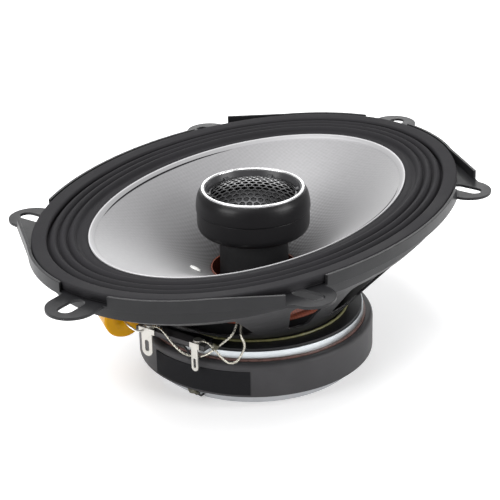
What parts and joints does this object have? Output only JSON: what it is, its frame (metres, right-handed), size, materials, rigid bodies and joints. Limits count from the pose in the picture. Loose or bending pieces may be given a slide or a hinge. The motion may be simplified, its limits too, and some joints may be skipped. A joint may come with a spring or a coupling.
{
  "type": "coaxial car speaker",
  "caption": "Oval two-way coaxial car speaker: slotted-ear steel basket, woven cone on a rolled rubber edge, post-mounted tweeter cup, booted ring magnet.",
  "frame": {"origin": "centre of the magnet system's rear face, on the cone's axis", "axes": "+Z out of the cone along its axis, +X along the oval's long axis"},
  "size_m": [0.224, 0.1396, 0.0708],
  "materials": {
    "black_paint": "satin black over steel",
    "zinc_bright": "bright blue zinc",
    "sealant": "yellow-green sealant",
    "capacitor_wrap": "mustard wrap",
    "tinned_brass": "tin plated brass",
    "adhesive": "cured adhesive",
    "woven_cone": "silver-grey woven fibre",
    "lead_glue": "clear-white adhesive",
    "gasket_foam": "matt rubber",
    "bezel_plastic": "satin grey plastic",
    "label_tape": "matt black tape",
    "ferrite": "brown varnished ferrite",
    "boot_rubber": "satin moulded rubber",
    "zinc_plate": "dull zinc plate",
    "mesh_steel": "black coated steel mesh",
    "braid": "bare braided wire",
    "spider_cloth": "resin-dipped red-brown cloth",
    "black_plastic": "moulded plastic",
    "surround_rubber": "matt butyl rubber",
    "terminal_fibre": "black fibre board",
    "polished_trim": "polished",
    "silk_dome": "treated silk",
    "cup_plastic": "satin moulded plastic",
    "lead_insulation": "black insulation",
    "neodymium": "nickel plated",
    "copper_wire": "enamelled wire",
    "former": "red-brown film"
  },
  "bodies": {
    "frame": {"basket": "black_paint", "basket_rivets": "zinc_bright", "basket_seam_bead": "sealant", "capacitor": "capacitor_wrap", "capacitor_front_lead": "tinned_brass", "capacitor_glue": "adhesive", "capacitor_rear_lead": "tinned_brass", "flange_gasket": "gasket_foam", "front_magnet_glue": "adhesive", "grille_bezel": "bezel_plastic", "label_patch": "label_tape", "lead_glue_blob": "sealant", "magnet": "ferrite", "magnet_boot": "boot_rubber", "magnet_yoke": "zinc_plate", "mesh_grille": "mesh_steel", "negative_blade": "tinned_brass", "negative_lead": "braid", "negative_tinsel_lead": "braid", "positive_blade": "tinned_brass", "positive_lead": "braid", "positive_tinsel_lead": "braid", "post_screw": "zinc_bright", "rear_magnet_glue": "adhesive", "spider": "spider_cloth", "spider_seat_ring": "black_plastic", "surround": "surround_rubber", "terminal_board": "terminal_fibre", "terminal_bracket": "black_paint", "terminal_rivets": "tinned_brass", "top_plate": "zinc_bright", "trim_ring": "polished_trim", "tweeter_frame": "black_plastic", "tweeter_housing": "cup_plastic", "tweeter_lead_a": "lead_insulation", "tweeter_lead_b": "lead_insulation", "tweeter_magnet": "neodymium", "tweeter_pole_cap": "zinc_plate", "tweeter_post": "black_plastic", "tweeter_shell": "cup_plastic", "tweeter_surround": "silk_dome", "tweeter_yoke": "zinc_plate"},
    "cone_assembly": {"cone": "woven_cone", "voice_coil_former": "former", "voice_coil_winding": "copper_wire", "cone_lead_pads": "lead_glue"},
    "tweeter_diaphragm": {"tweeter_dome": "silk_dome", "tweeter_voice_coil": "copper_wire"}
  },
  "joints": [
    {"name": "cone_travel", "type": "slide", "parent": "frame", "child": "cone_assembly", "axis": [0, 0, 1], "range_m": [-0.004, 0.004], "stiffness_N_per_m": 1500, "deforming": ["surround", "spider", "positive_tinsel_lead", "negative_tinsel_lead"]},
    {"name": "tweeter_travel", "type": "slide", "parent": "frame", "child": "tweeter_diaphragm", "axis": [0, 0, 1], "range_m": [-0.0003, 0.0003], "stiffness_N_per_m": 2000, "deforming": ["tweeter_surround"]}
  ]
}
